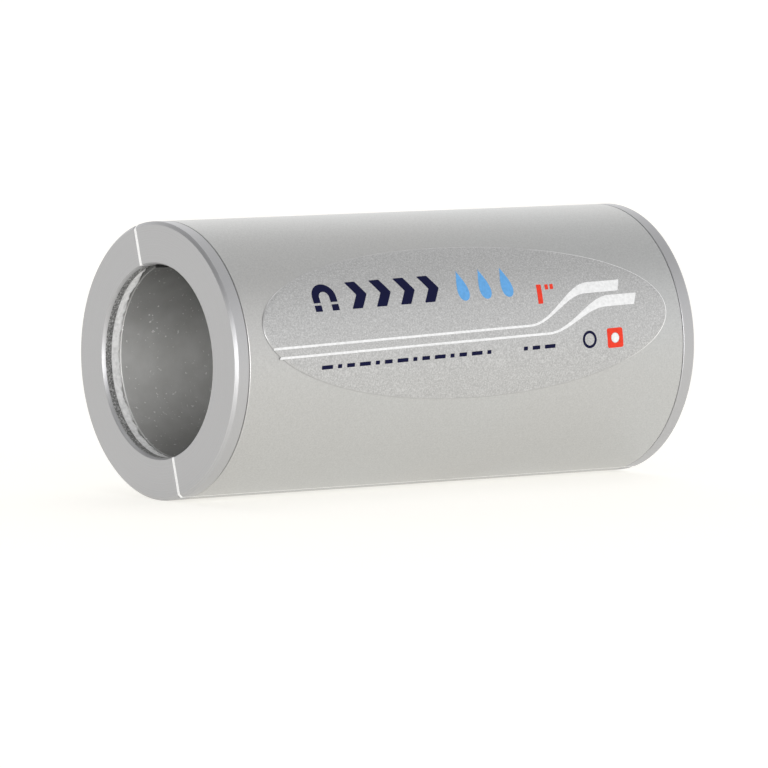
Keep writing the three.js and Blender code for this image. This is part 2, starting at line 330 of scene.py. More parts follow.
def loft(loops, closed=False):
    """Vertices and faces of a solid through equal loops of points.

    A closed one joins its last loop to its first. Any other is capped at both ends.
    """
    size = len(loops[0])
    points = [point for loop in loops for point in loop]
    faces = []
    for i in range(len(loops) if closed else len(loops) - 1):
        low = i * size
        high = (i + 1) % len(loops) * size
        for k in range(size):
            following = (k + 1) % size
            faces.append((low + k, low + following, high + following, high + k))
    if not closed:
        faces.append(tuple(reversed(range(size))))
        faces.append(tuple(range(len(points) - size, len(points))))
    return points, faces


def shade(mesh):
    """Smooth, but for its sharp edges."""
    mesh.shade_smooth()
    mesh.set_sharp_from_angle(angle=SHARP)


def linked(name, data):
    """An object in the scene, with this mesh, curve, light or camera."""
    thing = bpy.data.objects.new(name, data)
    bpy.context.scene.collection.objects.link(thing)
    return thing


def evaluated_mesh(thing):
    """A new mesh of what the scene makes of a curve or of an object's modifiers."""
    bpy.context.view_layer.update()
    return bpy.data.meshes.new_from_object(thing.evaluated_get(bpy.context.evaluated_depsgraph_get()))


def make_object(name, shape, space):
    """An object from (points, faces), moved to its place, facing outwards and shaded."""
    points, faces = shape
    mesh = bpy.data.meshes.new(name)
    mesh.from_pydata(points, [], faces)
    builder = bmesh.new()
    builder.from_mesh(mesh)
    bmesh.ops.remove_doubles(builder, verts=builder.verts, dist=1e-6)
    bmesh.ops.recalc_face_normals(builder, faces=builder.faces)
    builder.to_mesh(mesh)
    builder.free()
    mesh.transform(space)
    shade(mesh)
    return linked(name, mesh)


def turned_half(profile, bevel, height=None, angle=None, step=FINE, middle=None):
    """A profile of (x, radius) points swept round the bore, between two edges at a height or an angle.

    middle, if given, is (half angle, profile): another profile of as many points, which takes over
    through the middle of the sweep.
    """

    def edge_angle(radius, back):
        if angle is None:
            return acos((height + back) / radius)
        return angle - back / radius

    def column(outline, share, back):
        return [round_bore(x, radius, share * edge_angle(radius, back)) for x, radius in outline]

    ends = [(inset(profile, distance), back) for distance, back in edge_steps(bevel)]
    reach = edge_angle(max(r for _, r in profile), bevel)
    count = int(2 * reach / step)
    sections = [(2 * i / count - 1, profile) for i in range(1, count)]
    if middle:
        limit = middle[0] / reach
        before = [section for section in sections if section[0] < -limit]
        within = [(share, middle[1]) for share, _ in sections if abs(share) < limit]
        after = [section for section in sections if section[0] > limit]
        within = [(-limit, profile), (-limit, middle[1]), *within, (limit, middle[1]), (limit, profile)]
        sections = [*before, *within, *after]
    loops = [column(outline, -1, back) for outline, back in ends]
    loops += [column(outline, share, bevel) for share, outline in sections]
    loops += [column(outline, 1, back) for outline, back in reversed(ends)]
    return loft(loops)


def arc_block(inner, outer, angle, middle, reach, corner, bevel):
    """A curved block between two radii, which reaches both ways from its middle along the bore."""
    profile = rounded(oblong(middle - reach, middle + reach, inner, outer), corner)
    return turned_half(profile, bevel, angle=angle)


def upright(outline, bottom, top, bevel):
    """An outline of (x, z) points made solid from y = bottom to y = top."""
    ends = [(inset(outline, distance), back) for distance, back in edge_steps(bevel)]
    loops = [[(x, bottom + back, z) for x, z in points] for points, back in ends]
    loops += [[(x, top - back, z) for x, z in points] for points, back in reversed(ends)]
    return loft(loops)


def spun(profile, columns, x, z, closed=False, wobble=None):
    """(radius, y) points turned about an axis along +y through (x, z).

    wobble(y, turn, radius), if given, returns the radius to use at that turn.
    """
    loops = []
    for radius, y in profile:
        loop = []
        for turn in full_turn(columns):
            reach = wobble(y, turn, radius) if wobble else radius
            loop.append((x + reach * sin(turn), y, z + reach * cos(turn)))
        loops.append(loop)
    return loft(loops, closed)


def merged(shapes):
    """Several (points, faces) shapes as one."""
    points, faces = [], []
    for more_points, more_faces in shapes:
        start = len(points)
        points += more_points
        faces += [tuple(start + i for i in face) for face in more_faces]
    return points, faces


def boolean(piece, shape, space, operation="DIFFERENCE"):
    """Cuts a shape out of a piece, or joins it on."""
    tool = make_object("tool", shape, space)
    modifier = piece.modifiers.new("boolean", "BOOLEAN")
    modifier.operation = operation
    modifier.solver = "EXACT"
    modifier.object = tool
    result = evaluated_mesh(piece)
    old = piece.data
    piece.modifiers.clear()
    piece.data = result
    result.name = piece.name
    bpy.data.meshes.remove(old)
    bpy.data.objects.remove(tool)
    shade(result)


# ---- Materials ----


class NodeTree:
    """The nodes that the materials and the world share."""

    def __init__(self, tree):
        self.nodes = tree.nodes
        self.links = tree.links

    def add(self, kind, inputs, output, **settings):
        """A new node's output. Each of its inputs is a value, or another output that is linked to it."""
        node = self.nodes.new("ShaderNode" + kind)
        for name, value in settings.items():
            setattr(node, name, value)
        for socket, value in inputs.items():
            if isinstance(value, bpy.types.NodeSocket):
                self.links.new(value, node.inputs[socket])
            else:
                node.inputs[socket].default_value = value
        return node.outputs[output]

    def ramp(self, value, *stops):
        """value as a colour between (position, colour) stops."""
        ramp = self.nodes.new("ShaderNodeValToRGB")
        elements = ramp.color_ramp.elements
        while len(elements) < len(stops):
            elements.new(0.5)
        for element, (position, color) in zip(elements, stops):
            element.position = position
            element.color = (*color, 1)
        self.links.new(value, ramp.inputs["Fac"])
        return ramp.outputs["Color"]

    def mix(self, mode, first, second):
        """Two colours mixed in full by a mode."""
        inputs = {"Factor": 1.0, "A": first, "B": second}
        return self.add("Mix", inputs, "Result", data_type="RGBA", blend_type=mode)

    def dot(self, value, axis):
        """The dot product of a vector output and a fixed axis."""
        return self.add("VectorMath", {0: value, 1: axis}, "Value", operation="DOT_PRODUCT")


class Shader(NodeTree):
    """One material: noise drives its colour, roughness and bump. Its other numbers are the shader's own."""

    def __init__(self, name, color, metallic=0.0, roughness=0.5, sockets=()):
        self.material = bpy.data.materials.new(name)
        self.material.use_nodes = True
        super().__init__(self.material.node_tree)
        self.surface = self.nodes["Principled BSDF"]
        basics = [("Base Color", (*color, 1)), ("Metallic", metallic), ("Roughness", roughness)]
        for socket, value in [*basics, *sockets]:
            self.surface.inputs[socket].default_value = value
        self.place = self.add("TexCoord", {}, "Object")
        self.normal = None

    def noise(self, scale, detail):
        return self.add("TexNoise", {"Vector": self.place, "Scale": scale, "Detail": detail}, "Fac")

    def rings(self, scale):
        """Noise that runs in circles round the bore, as a lathe tool leaves it."""
        flat = self.add("VectorMath", {0: self.place, 1: (0, 1, 1)}, "Vector", operation="MULTIPLY")
        radius = self.add("VectorMath", {0: flat}, "Value", operation="LENGTH")
        inputs = {"W": radius, "Scale": scale, "Detail": 3}
        return self.add("TexNoise", inputs, "Fac", noise_dimensions="1D")

    def along(self, axis, reach):
        """How far a point lies along an axis, where 1 is a reach in millimetres."""
        return self.dot(self.place, Vector(axis) / (reach * MM))

    def from_split(self):
        """0 at the parting plane, 1 at the bore's wall in the middle of a half. The liner's painted shade
        follows it.
        """
        return self.add("Math", {0: self.along(OUT, BORE)}, "Value", operation="ABSOLUTE")

    def color(self, output):
        self.links.new(output, self.surface.inputs["Base Color"])

    def roughness(self, value, low, high):
        spread = self.add("MapRange", {"Value": value, "To Min": low, "To Max": high}, "Result")
        self.links.new(spread, self.surface.inputs["Roughness"])

    def bump(self, value, depth, strength):
        """Adds relief of a depth in millimetres."""
        inputs = {"Strength": strength, "Distance": depth * MM, "Height": value}
        if self.normal:
            inputs["Normal"] = self.normal
        self.normal = self.add("Bump", inputs, "Normal")
        self.links.new(self.normal, self.surface.inputs["Normal"])
        return self


def grey(level, tint=(1, 1, 1)):
    """A grey of a brightness, with its channels scaled by a slight tint."""
    return tuple(level * t for t in tint)


def shell_material():
    shader = Shader("anodised_shell", grey(0.6), metallic=1.0)
    warm = grey(0.58, (1.0, 0.995, 0.98))
    cool = grey(0.59, (0.99, 1.0, 0.995))
    drift = shader.ramp(shader.noise(28, 1), (0.3, warm), (0.7, cool))
    grain = shader.noise(9000, 2)
    fine = shader.ramp(grain, (0.3, grey(0.93)), (0.7, grey(1.0)))
    flakes = shader.ramp(shader.noise(3300, 2), (0.3, grey(0.93)), (0.7, grey(1.05)))
    shader.color(shader.mix("MULTIPLY", shader.mix("MULTIPLY", drift, fine), flakes))
    shader.roughness(shader.noise(3500, 3), 0.40, 0.50)
    return shader.bump(grain, 0.004, 0.35).material


def ring_material():
    shader = Shader("anodised_ring", grey(0.52), metallic=1.0)
    turned = shader.rings(5200)
    lines = shader.ramp(turned, (0.3, grey(0.5, (1.0, 1.0, 1.02))), (0.7, grey(0.535, (1.0, 1.0, 1.02))))
    grain = shader.noise(7000, 2)
    fine = shader.ramp(grain, (0.3, grey(0.95)), (0.7, grey(1.0)))
    shader.color(shader.mix("MULTIPLY", lines, fine))
    shader.roughness(shader.noise(3000, 3), 0.42, 0.52)
    shader.bump(turned, 0.003, 0.25)
    return shader.bump(grain, 0.004, 0.35).material


def ring_bore_material():
    shader = Shader("turned_ring_bore", grey(0.3), metallic=0.6)
    grit = shader.noise(3000, 4)
    shader.color(shader.ramp(grit, (0.32, grey(0.16)), (0.52, grey(0.34)), (0.7, grey(0.75))))
    shader.roughness(grit, 0.55, 0.8)
    return shader.bump(grit, 0.06, 0.8).material


def liner_material():
    shader = Shader("resin_liner", grey(0.5), metallic=0.6, roughness=0.45)
    cloud = shader.noise(260, 4)
    body = shader.ramp(cloud, (0.3, grey(0.66, (1.0, 1.0, 0.98))), (0.7, grey(0.75, (1.0, 1.0, 0.99))))
    # Painted shade: the liner's colour darkens towards the parting plane, on both sides of the bore.
    painted_shade_ramp = shader.ramp(shader.from_split(), (0.15, grey(0.3)), (0.7, grey(0.62)), (0.98, grey(1.0)))
    body = shader.mix("MULTIPLY", body, painted_shade_ramp)
    specks = shader.ramp(shader.noise(1500, 2), (0.67, grey(0.0)), (0.73, grey(0.4)))
    shader.color(shader.mix("ADD", body, specks))
    shader.roughness(shader.noise(900, 3), 0.46, 0.56)
    return shader.bump(shader.noise(1900, 3), 0.03, 0.35).material


def film_material():
    coat = (("Coat Weight", 0.25), ("Coat Roughness", 0.3))
    shader = Shader("label_film", grey(0.5), metallic=0.85, sockets=coat)
    flakes = shader.noise(3800, 2)
    silver = shader.ramp(flakes, (0.3, grey(0.425)), (0.5, grey(0.515)), (0.7, grey(0.635)))
    drift = shader.ramp(shader.noise(30, 1), (0.3, grey(0.97)), (0.7, grey(1.0)))
    shader.color(shader.mix("MULTIPLY", silver, drift))
    shader.roughness(flakes, 0.4, 0.52)
    return shader.bump(flakes, 0.012, 0.3).material


def film_edge_material():
    """The film's sloping rim, with a painted highlight that makes it whiter towards its upper right."""
    shader = Shader("label_film_edge", grey(0.6), metallic=0.85, roughness=0.36)
    # Painted highlight: the rim's colour turns whiter towards the upper right.
    painted_highlight = shader.ramp(shader.along((0.8, 0, 0.6), 45), (0.55, grey(0.51)), (0.8, grey(1.0)))
    wear = shader.ramp(shader.noise(900, 2), (0.3, grey(0.92)), (0.7, grey(1.0)))
    shader.color(shader.mix("MULTIPLY", painted_highlight, wear))
    return shader.material


def grained(name, color, scale, colors, relief, top=0.7, detail=3, spread=None, **settings):
    """A material with one noise behind its colours, its relief and any spread of roughness."""
    shader = Shader(name, color, **settings)
    marks = shader.noise(scale, detail)
    low, high = colors
    shader.color(shader.ramp(marks, (0.3, low), (top, high)))
    if spread:
        shader.roughness(marks, *spread)
    return shader.bump(marks, *relief).material


def ink(name, color):
    """Matt screen print."""
    colors = (tuple(0.86 * c for c in color), color)
    matt = (("Specular IOR Level", 0.1),)
    return grained(name, color, 1700, colors, (0.006, 0.3), 0.62, sockets=matt)


def metal(name, color, scale, colors, spread):
    """Bright metal: the scale of its tool marks, their colours and the spread of its roughness."""
    return grained(name, color, scale, colors, (0.008, 0.3), spread=spread, metallic=1.0)


def steel(name, level, scale, spread):
    """Steel or nickel of a brightness."""
    return metal(name, grey(level), scale, (grey(0.9 * level), grey(level, (1.0, 0.995, 0.98))), spread)


BRASS = ((0.6, 0.4, 0.15), (0.78, 0.56, 0.25))
MATERIALS = {
    "shell": shell_material(),
    "end_ring": ring_material(),
    "ring_bore": ring_bore_material(),
    "liner": liner_material(),
    # Painted shadow: near-black on the liner's split edges, for the shade in the gap between the halves.
    "painted_split_shade": grained(
        "liner_split_painted_shadow", grey(0.02), 1500, (grey(0.012), grey(0.03)), (0.03, 0.5), roughness=0.8
    ),
    "sealant": grained(
        "sealant", grey(0.55), 1300, (grey(0.7), grey(0.88)), (0.12, 0.6), 0.62, 4, roughness=0.75
    ),
    "seal": grained(
        "white_seal", grey(0.86), 3200, (grey(0.82), grey(0.9)), (0.02, 0.4), 0.6, roughness=0.55
    ),
    "label_film": film_material(),
    "film_edge": film_edge_material(),
    "print_navy": ink("ink_navy", (0.003, 0.004, 0.034)),
    "print_blue": ink("ink_blue", (0.13, 0.37, 0.72)),
    "print_red": ink("ink_red", (0.78, 0.05, 0.025)),
    "print_white": ink("ink_white", grey(0.82, (0.99, 0.995, 1.005))),
    "screw": steel("stainless_steel", 0.6, 1800, (0.2, 0.36)),
    "dowel": steel("ground_steel", 0.66, 3000, (0.12, 0.24)),
    "magnet": steel("nickel_plate", 0.7, 1200, (0.12, 0.22)),
    "yoke": steel("zinc_plated_yoke", 0.5, 900, (0.32, 0.5)),
    "insert": metal("turned_brass", (0.72, 0.5, 0.2), 2400, BRASS, (0.25, 0.42)),
    "carrier": grained("black_nylon", grey(0.03), 2600, (grey(0.022), grey(0.045)), (0.02, 0.4)),
}


def give_two_materials(piece, space, first, second, is_second):
    """The second material goes to the faces whose middle is_second picks out in the half's frame."""
    for slot in (first, second):
        piece.data.materials.append(MATERIALS[slot])
    inverse = space.inverted()
    for face in piece.data.polygons:
        if is_second(*(inverse @ face.center)):
            face.material_index = 1


def settle(piece, body, slot, *nodes, flat=True):
    """Gives a piece its material, body and CAD nodes. flat keeps flat faces flat beside rounded edges."""
    if flat:
        weights = piece.modifiers.new("weights", "WEIGHTED_NORMAL")
        weights.keep_sharp = True
        weights.weight = 80  # how far a large face outweighs a small one
    if not piece.data.materials:
        piece.data.materials.append(MATERIALS[slot])
    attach(piece, body)
    if nodes:
        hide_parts(*nodes)


# ---- Shells ----


def shell_profile(inner):
    """A half shell's profile in (x, radius), down to an inner radius."""
    end = SHELL_END - JOINT_SLOT
    right = [(end - JOINT_CHAMFER, OUTER), (end, OUTER - JOINT_CHAMFER), (end, inner)]
    return rounded([(-x, radius) for x, radius in reversed(right)] + right, EASING)


def shell_blank():
    """The half shell before its holes: chamfered at both ends, with the magnets' channel inside."""
    channel = (CHANNEL_ANGLE, shell_profile(CHANNEL_OUTER))
    return turned_half(shell_profile(SHELL_INNER), SHELL_BEVEL, height=HALF_GAP, middle=channel)


def hole(radius, depth, x, z):
    """A cutter for a hole in a parting face, with its mouth chamfered."""
    mouth = radius + HOLE_FLARE
    profile = [(mouth, -BEYOND), (mouth, HALF_GAP), (radius, HALF_GAP + HOLE_FLARE), (radius, depth)]
    return spun(profile, HOLE_COLUMNS, x, z)


def counterbore(x, z):
    """A cutter for a screw's counterbore, whose chamfer follows the curved surface round its mouth."""
    turns = full_turn(RIM_COLUMNS)
    mouths = [sqrt(OUTER**2 - (z + COUNTERBORE * cos(turn)) ** 2) for turn in turns]

    def loop(flare, rise=0.0, level=None):
        """Points round the counterbore, level or at a rise above the curved surface."""
        points = []
        for turn, mouth in zip(turns, mouths):
            reach = COUNTERBORE + flare * mouth / OUTER
            y = mouth + rise * mouth / OUTER if level is None else level
            points.append((x + reach * sin(turn), y, z + reach * cos(turn)))
        return points

    wide = 2 * RIM_CHAMFER
    seat = loop(0, level=SEAT_HEIGHT)
    return loft([seat, loop(0, -RIM_CHAMFER), loop(wide, RIM_CHAMFER), loop(wide, level=OUTER + BEYOND)])


def make_shell(half):
    piece = make_object(f"{half}_half_casing", shell_blank(), SPACES[half])
    if half == "rear":
        boolean(piece, merged([counterbore(x, z) for _, x, z in SCREWS]), SPACES[half])
        holes = [hole(CLEARANCE, SEAT_HEIGHT + BEYOND, x, z) for _, x, z in SCREWS]
        dowel_depth = DOWEL_REACH + DOWEL_SPARE
    else:
        holes = [hole(INSERT_HOLE, INSERT_HOLE_DEPTH, x, z) for _, x, z in SCREWS]
        dowel_depth = DOWEL_LENGTH - DOWEL_REACH + DOWEL_SPARE
    holes += [hole(DOWEL_HOLE, dowel_depth, 0, z) for z in (-DOWEL_OFFSET, DOWEL_OFFSET)]
    boolean(piece, merged(holes), SPACES[half])
    settle(piece, f"{half}_half", "shell", f"{half}_shell")


# ---- End rings, beads and liners ----

LIP_BACK = FACE - LIP_THICKNESS


def ring_profile():
    """The half ring's profile at the +x end, in (x, radius)."""
    points = [
        (LIP_BACK, BORE),
        (LIP_BACK, SHELL_INNER),
        (SHELL_END, SHELL_INNER),
        (SHELL_END, OUTER - JOINT_CHAMFER),
        (SHELL_END + JOINT_CHAMFER, OUTER),
        (FACE - RING_CHAMFER, OUTER),
        (FACE, OUTER - RING_CHAMFER),
        (FACE, BORE + BORE_CHAMFER),
        (FACE - BORE_CHAMFER_DEPTH, BORE),
    ]
    return rounded(points, [LIP_EASING] * 3 + [EASING] * 4 + [BORE_EASING] * 2)


def mirrored_ends(shape, side):
    """The +x end's shape, or the same turned half round the half's own axis for the -x end."""
    points, faces = shape
    if side == "right":
        return shape
    return [(-x, y, -z) for x, y, z in points], faces


def make_ring(half, side):
    """A half ring with a spigot that reaches into the shell's channel, and a rougher bore."""
    body = turned_half(ring_profile(), RING_BEVEL, height=HALF_GAP, step=RING_STEP)
    piece = make_object(f"{half}_{side}_end_ring", mirrored_ends(body, side), SPACES[half])
    tip = SHELL_END - SPIGOT_LENGTH
    root = SHELL_END + BEYOND
    outline = rounded(oblong(tip, root, SPIGOT_INNER, SPIGOT_OUTER), [SPIGOT_EASING, SPIGOT_EASING, 0, 0])
    spigot = turned_half(outline, SPIGOT_BEVEL, angle=SPIGOT_ANGLE)
    boolean(piece, mirrored_ends(spigot, side), SPACES[half], "UNION")

    def in_bore(x, y, z):
        return hypot(y, z) < BORE + TOUCH / 2 and abs(x) < FACE - BORE_CHAMFER_DEPTH

    give_two_materials(piece, SPACES[half], "end_ring", "ring_bore", in_bore)
    settle(piece, f"{half}_half", "end_ring", f"{half}_{side}_ring")


def ragged(at, size, scale, seed):
    """Smooth noise of a size in millimetres at a place, finer as scale grows."""
    return size * noise.noise(Vector(at) * scale + Vector((seed, 2.3 * seed, 0.7 * seed)))


def make_bead(half, side):
    """Sealant pressed out behind the ring's lip: its inner face is lumpy, and its far edge wanders."""
    seed = BEAD_SEEDS[half] + BEAD_SEEDS[side]
    shortfalls = BEAD_SHORTFALLS[half, side]
    near = FACE - LIP_THICKNESS - TOUCH
    far = FACE - BEAD_END
    profile = rounded(oblong(far, near, BORE, BEAD_OUTER), BEAD_EASING, 5)
    dense = []
    for first, second in zip(profile, profile[1:] + profile[:1]):
        parts = max(1, round(dist(first, second) / BEAD_SPACING))
        for i in range(parts):
            share = i / parts
            dense.append(tuple(a + (b - a) * share for a, b in zip(first, second)))
    points, faces = turned_half(dense, BEAD_BEVEL, height=BEAD_EDGE, step=BEAD_STEP)
    lumpy = []
    for x, y, z in points:
        radius = hypot(y, z)
        inward = clamped((BEAD_OUTER - radius) / (BEAD_OUTER - BORE))
        depth = clamped((near - x) / (near - far))
        wander = sum(ragged((x, y, z), *wave, seed) for wave in BEAD_WAVES)
        lump = inward * (BEAD_RECESS + abs(ragged((x, y, z), *BEAD_LUMPS, seed + 5)))
        turn = atan2(z, y)
        stop = BEAD_SPLIT - radians(shortfalls[1 if turn > 0 else 0])
        beyond = abs(turn) - stop
        if beyond > 0:
            turn = copysign(stop + BEAD_SQUEEZE * beyond, turn)
        thinning = BEAD_THINNING * eased(beyond / BEAD_TAPER + 1) * (near - x)
        x += (max(-BEAD_BULGE, wander) * depth + thinning) * inward
        lumpy.append(round_bore(x, radius + lump, turn))
    piece = make_object(f"{half}_{side}_sealant", mirrored_ends((lumpy, faces), side), SPACES[half])
    settle(piece, f"{half}_half", "sealant", f"{half}_{side}_bead", flat=False)


def make_liner(half):
    """A half liner, with near-black painted shadow along its split edges."""
    end = FACE - BEAD_END - TOUCH
    outline = rounded(oblong(-end, end, BORE, LINER_OUTER), LINER_EASING)
    body = turned_half(outline, LINER_EASING, height=LINER_EDGE)
    piece = make_object(f"{half}_bore_liner", body, SPACES[half])
    limit = LINER_EDGE + LINER_PAINTED_SHADOW
    # Painted shadow: the liner's split edges take a near-black material, for the shade in the gap.
    give_two_materials(piece, SPACES[half], "liner", "painted_split_shade", lambda x, y, z: y < limit)
    settle(piece, f"{half}_half", "liner", f"{half}_liner")


# ---- Magnets, yokes and carriers ----


def make_magnets(half):
    reach = WINDOW_LENGTH / 2 - MAGNET_PLAY
    for i, middle in enumerate(MAGNET_MIDDLES, 1):
        block = arc_block(*MAGNET, middle, reach, MAGNET_EASING, MAGNET_EASING)
        piece = make_object(f"{half}_arc_magnet_{i}", block, SPACES[half])
        settle(piece, f"{half}_half", "magnet", f"{half}_magnet_{i}")


def make_yoke(half):
    plate = arc_block(*YOKE, 0, CARRIER_END, YOKE_EASING, YOKE_EASING)
    piece = make_object(f"{half}_yoke_plate", plate, SPACES[half])
    settle(piece, f"{half}_half", "yoke", f"{half}_yoke")


def make_carrier(half):
    """The cage that holds the magnets apart, with a window for each."""
    cage = arc_block(*CARRIER, 0, CARRIER_END, CARRIER_EASING, CARRIER_EASING)
    piece = make_object(f"{half}_magnet_cage", cage, SPACES[half])
    window = (CARRIER[0] - BEYOND, CARRIER[1] + BEYOND, WINDOW_ANGLE)
    reach = WINDOW_LENGTH / 2
    windows = [arc_block(*window, middle, reach, 0, WINDOW_BEVEL) for middle in MAGNET_MIDDLES]
    boolean(piece, merged(windows), SPACES[half])
    settle(piece, f"{half}_half", "carrier", f"{half}_magnet_carrier")


# ---- Parting seals ----


def make_seal(name, turn):
    """The strip that fills the parting gap on one side of the bore.

    A tab at each end reaches in between the ring lips. turn brings it from above the bore to its place.
    """
    outer = OUTER - SEAL_RECESS
    end = FACE - TOUCH
    shoulder = LIP_BACK + TOUCH
    half = [
        (shoulder, SHELL_INNER),
        (shoulder, SEAL_INNER),
        (end, SEAL_INNER),
        (end, outer - RING_CHAMFER),
        (end - RING_CHAMFER, outer),
    ]
    outline = rounded(half + [(-x, z) for x, z in reversed(half)], EASING)
    strip = upright(outline, -SEAL_THICKNESS / 2, SEAL_THICKNESS / 2, SEAL_BEVEL)
    space = SPACES["rear"] @ Matrix.Rotation(turn, 4, "X")
    piece = make_object(name + "_strip", strip, space)
    holes = [(SEAL_SCREW_HOLE, x, z) for _, x, z in SCREWS if z > 0]
    holes.append((SEAL_DOWEL_HOLE, 0, DOWEL_OFFSET))
    tools = [spun([(radius, -BEYOND), (radius, BEYOND)], HOLE_COLUMNS, x, z) for radius, x, z in holes]
    boolean(piece, merged(tools), space)
    settle(piece, "rear_half", "seal", name)


# ---- Screws, washers, inserts and dowels ----


def thread_wobble(tip, end, depth):
    """A right-handed thread that fades at both ends. A negative depth makes an inner one."""

    def wobble(y, turn, radius):
        phase = (y / THREAD_PITCH - turn / TURN) % 1.0
        flank = abs(2 * phase - 1)
        crest = clamped(1.5 * flank - 0.25)
        fade = min(clamped((y - tip) / THREAD_FADE_IN), clamped((end - y) / THREAD_FADE_OUT))
        return radius - depth * (1 - crest * fade)

    return wobble


def knurled(turn, columns, radius, depth):
    """Every second column of a knurl stands back by its depth."""
    return radius - depth * (round(turn / TURN * columns) % 2)


def make_screw(corner, x, z):
    """A socket head cap screw: threaded shank, knurled head and a hexagon socket."""
    seat = SEAT_HEIGHT + WASHER_THICKNESS + 2 * WASHER_GAP
    tip = seat - SCREW_LENGTH
    top = seat + HEAD_HEIGHT
    rows = int(SCREW_LENGTH / THREAD_PITCH * THREAD_ROWS)
    thread = thread_wobble(tip, seat, THREAD_DEPTH)

    def radius_at(y, turn, radius):
        if y < seat - NECK and radius == THREAD_RADIUS:
            return thread(y, turn, radius)
        if radius == HEAD_RADIUS:
            return knurled(turn, SCREW_COLUMNS, radius, KNURL_DEPTH)
        return radius

    profile = [(THREAD_RADIUS - 0.4, tip)]
    profile += [(THREAD_RADIUS, tip + (SCREW_LENGTH - NECK) * i / rows) for i in range(1, rows)]
    profile += [
        (THREAD_RADIUS - 0.03, seat - 0.25),
        (THREAD_RADIUS, seat),
        (HEAD_RADIUS - 0.14, seat),
        (HEAD_RADIUS - 0.03, seat + 0.12),
        (HEAD_RADIUS, seat + 0.24),
        (HEAD_RADIUS, top - 0.5),
        (HEAD_RADIUS - 0.05, top - 0.42),
        (HEAD_RADIUS - 0.06, top - 0.2),
        (HEAD_RADIUS - 0.12, top - 0.06),
        (HEAD_RADIUS - 0.26, top),
        (SOCKET_FLATS / 2 + 0.35, top),
    ]
    body = spun(profile, SCREW_COLUMNS, x, z, wobble=radius_at)
    piece = make_object(f"{corner}_cap_screw", body, SPACES["rear"])
    reach = SOCKET_FLATS / sqrt(3)
    bottom = top - SOCKET_DEPTH
    socket = [
        (0.3, bottom - 0.3),
        (reach, bottom),
        (reach, top - SOCKET_CHAMFER),
        (reach + 2 * SOCKET_CHAMFER, top + SOCKET_CHAMFER),
    ]
    boolean(piece, spun(socket, 6, x, z), SPACES["rear"])
    settle(piece, f"{corner}_screw_body", "screw", f"{corner}_screw")


def make_washer(corner, x, z):
    bottom = SEAT_HEIGHT + WASHER_GAP
    top = bottom + WASHER_THICKNESS
    corners = [(CLEARANCE, bottom), (WASHER_OUTER, bottom), (WASHER_OUTER, top), (CLEARANCE, top)]
    body = spun(rounded(corners, WASHER_EASING), RIM_COLUMNS, x, z, closed=True)
    piece = make_object(f"{corner}_plain_washer", body, SPACES["rear"])
    settle(piece, f"{corner}_washer_body", "screw", f"{corner}_washer")


def make_insert(corner, x, z):
    """A brass insert, knurled outside, with a thread inside."""
    top = -INSERT_RECESS
    bottom = top - INSERT_LENGTH
    rows = int(INSERT_LENGTH / THREAD_PITCH * INSERT_THREAD_ROWS)
    bands = 12
    thread = thread_wobble(bottom, top, -INSERT_THREAD_DEPTH)

    def radius_at(y, turn, radius):
        if radius == INSERT_BORE:
            return thread(y, turn, radius)
        if radius == INSERT_OUTER and bottom + INSERT_BAND < y < top - INSERT_BAND:
            return knurled(turn, INSERT_COLUMNS, radius, INSERT_KNURL_DEPTH)
        return radius

    inner = INSERT_BORE + INSERT_CHAMFER
    outer = INSERT_OUTER - INSERT_CHAMFER
    inside = [(INSERT_BORE, bottom + INSERT_LENGTH * i / rows) for i in range(1, rows)]
    outside = [(INSERT_OUTER, top - INSERT_LENGTH * i / bands) for i in range(1, bands)]
    profile = [*inside, (inner, top), (outer, top), *outside, (outer, bottom), (inner, bottom)]
    shape = spun(profile, INSERT_COLUMNS, x, z, closed=True, wobble=radius_at)
    piece = make_object(f"{corner}_brass_insert", shape, SPACES["rear"])
    settle(piece, "front_half", "insert", f"{corner}_insert", flat=False)


def make_dowel(name, z):
    """A ground pin, chamfered at its fixed end and domed at the end that finds the rear half."""
    bottom = DOWEL_REACH - DOWEL_LENGTH
    profile = [
        (DOWEL_RADIUS - 0.35, bottom),
        (DOWEL_RADIUS - 0.05, bottom + 0.3),
        (DOWEL_RADIUS, bottom + 0.4),
        (DOWEL_RADIUS, DOWEL_REACH - 0.6),
        (DOWEL_RADIUS - 0.04, DOWEL_REACH - 0.45),
        (DOWEL_RADIUS - 0.3, DOWEL_REACH - 0.08),
        (DOWEL_RADIUS - 0.42, DOWEL_REACH),
    ]
    piece = make_object(name + "_pin", spun(profile, DOWEL_COLUMNS, 0, z), SPACES["rear"])
    settle(piece, "front_half", "dowel", name)


# ---- Label film and print ----

ART_SLOPE = radians(1.8)  # the print climbs a little along the sleeve
BAR_CORNER = 0.1
RIBBON_WIDTHS = (0.42, 2.1)  # of a white stripe before and after its bend
DASH_LENGTHS = (2.4, 0.9, 1.7)
DASH_GAP = 1.1
DASH_HEIGHT = 0.7
DASH_BREAK = (5.0, 10.5)  # no dash starts between these


def on_cylinder(x, around, radius):
    """A point of the front half, at a distance round it, measured upwards from its middle."""
    return round_bore(x, radius, -around / OUTER)


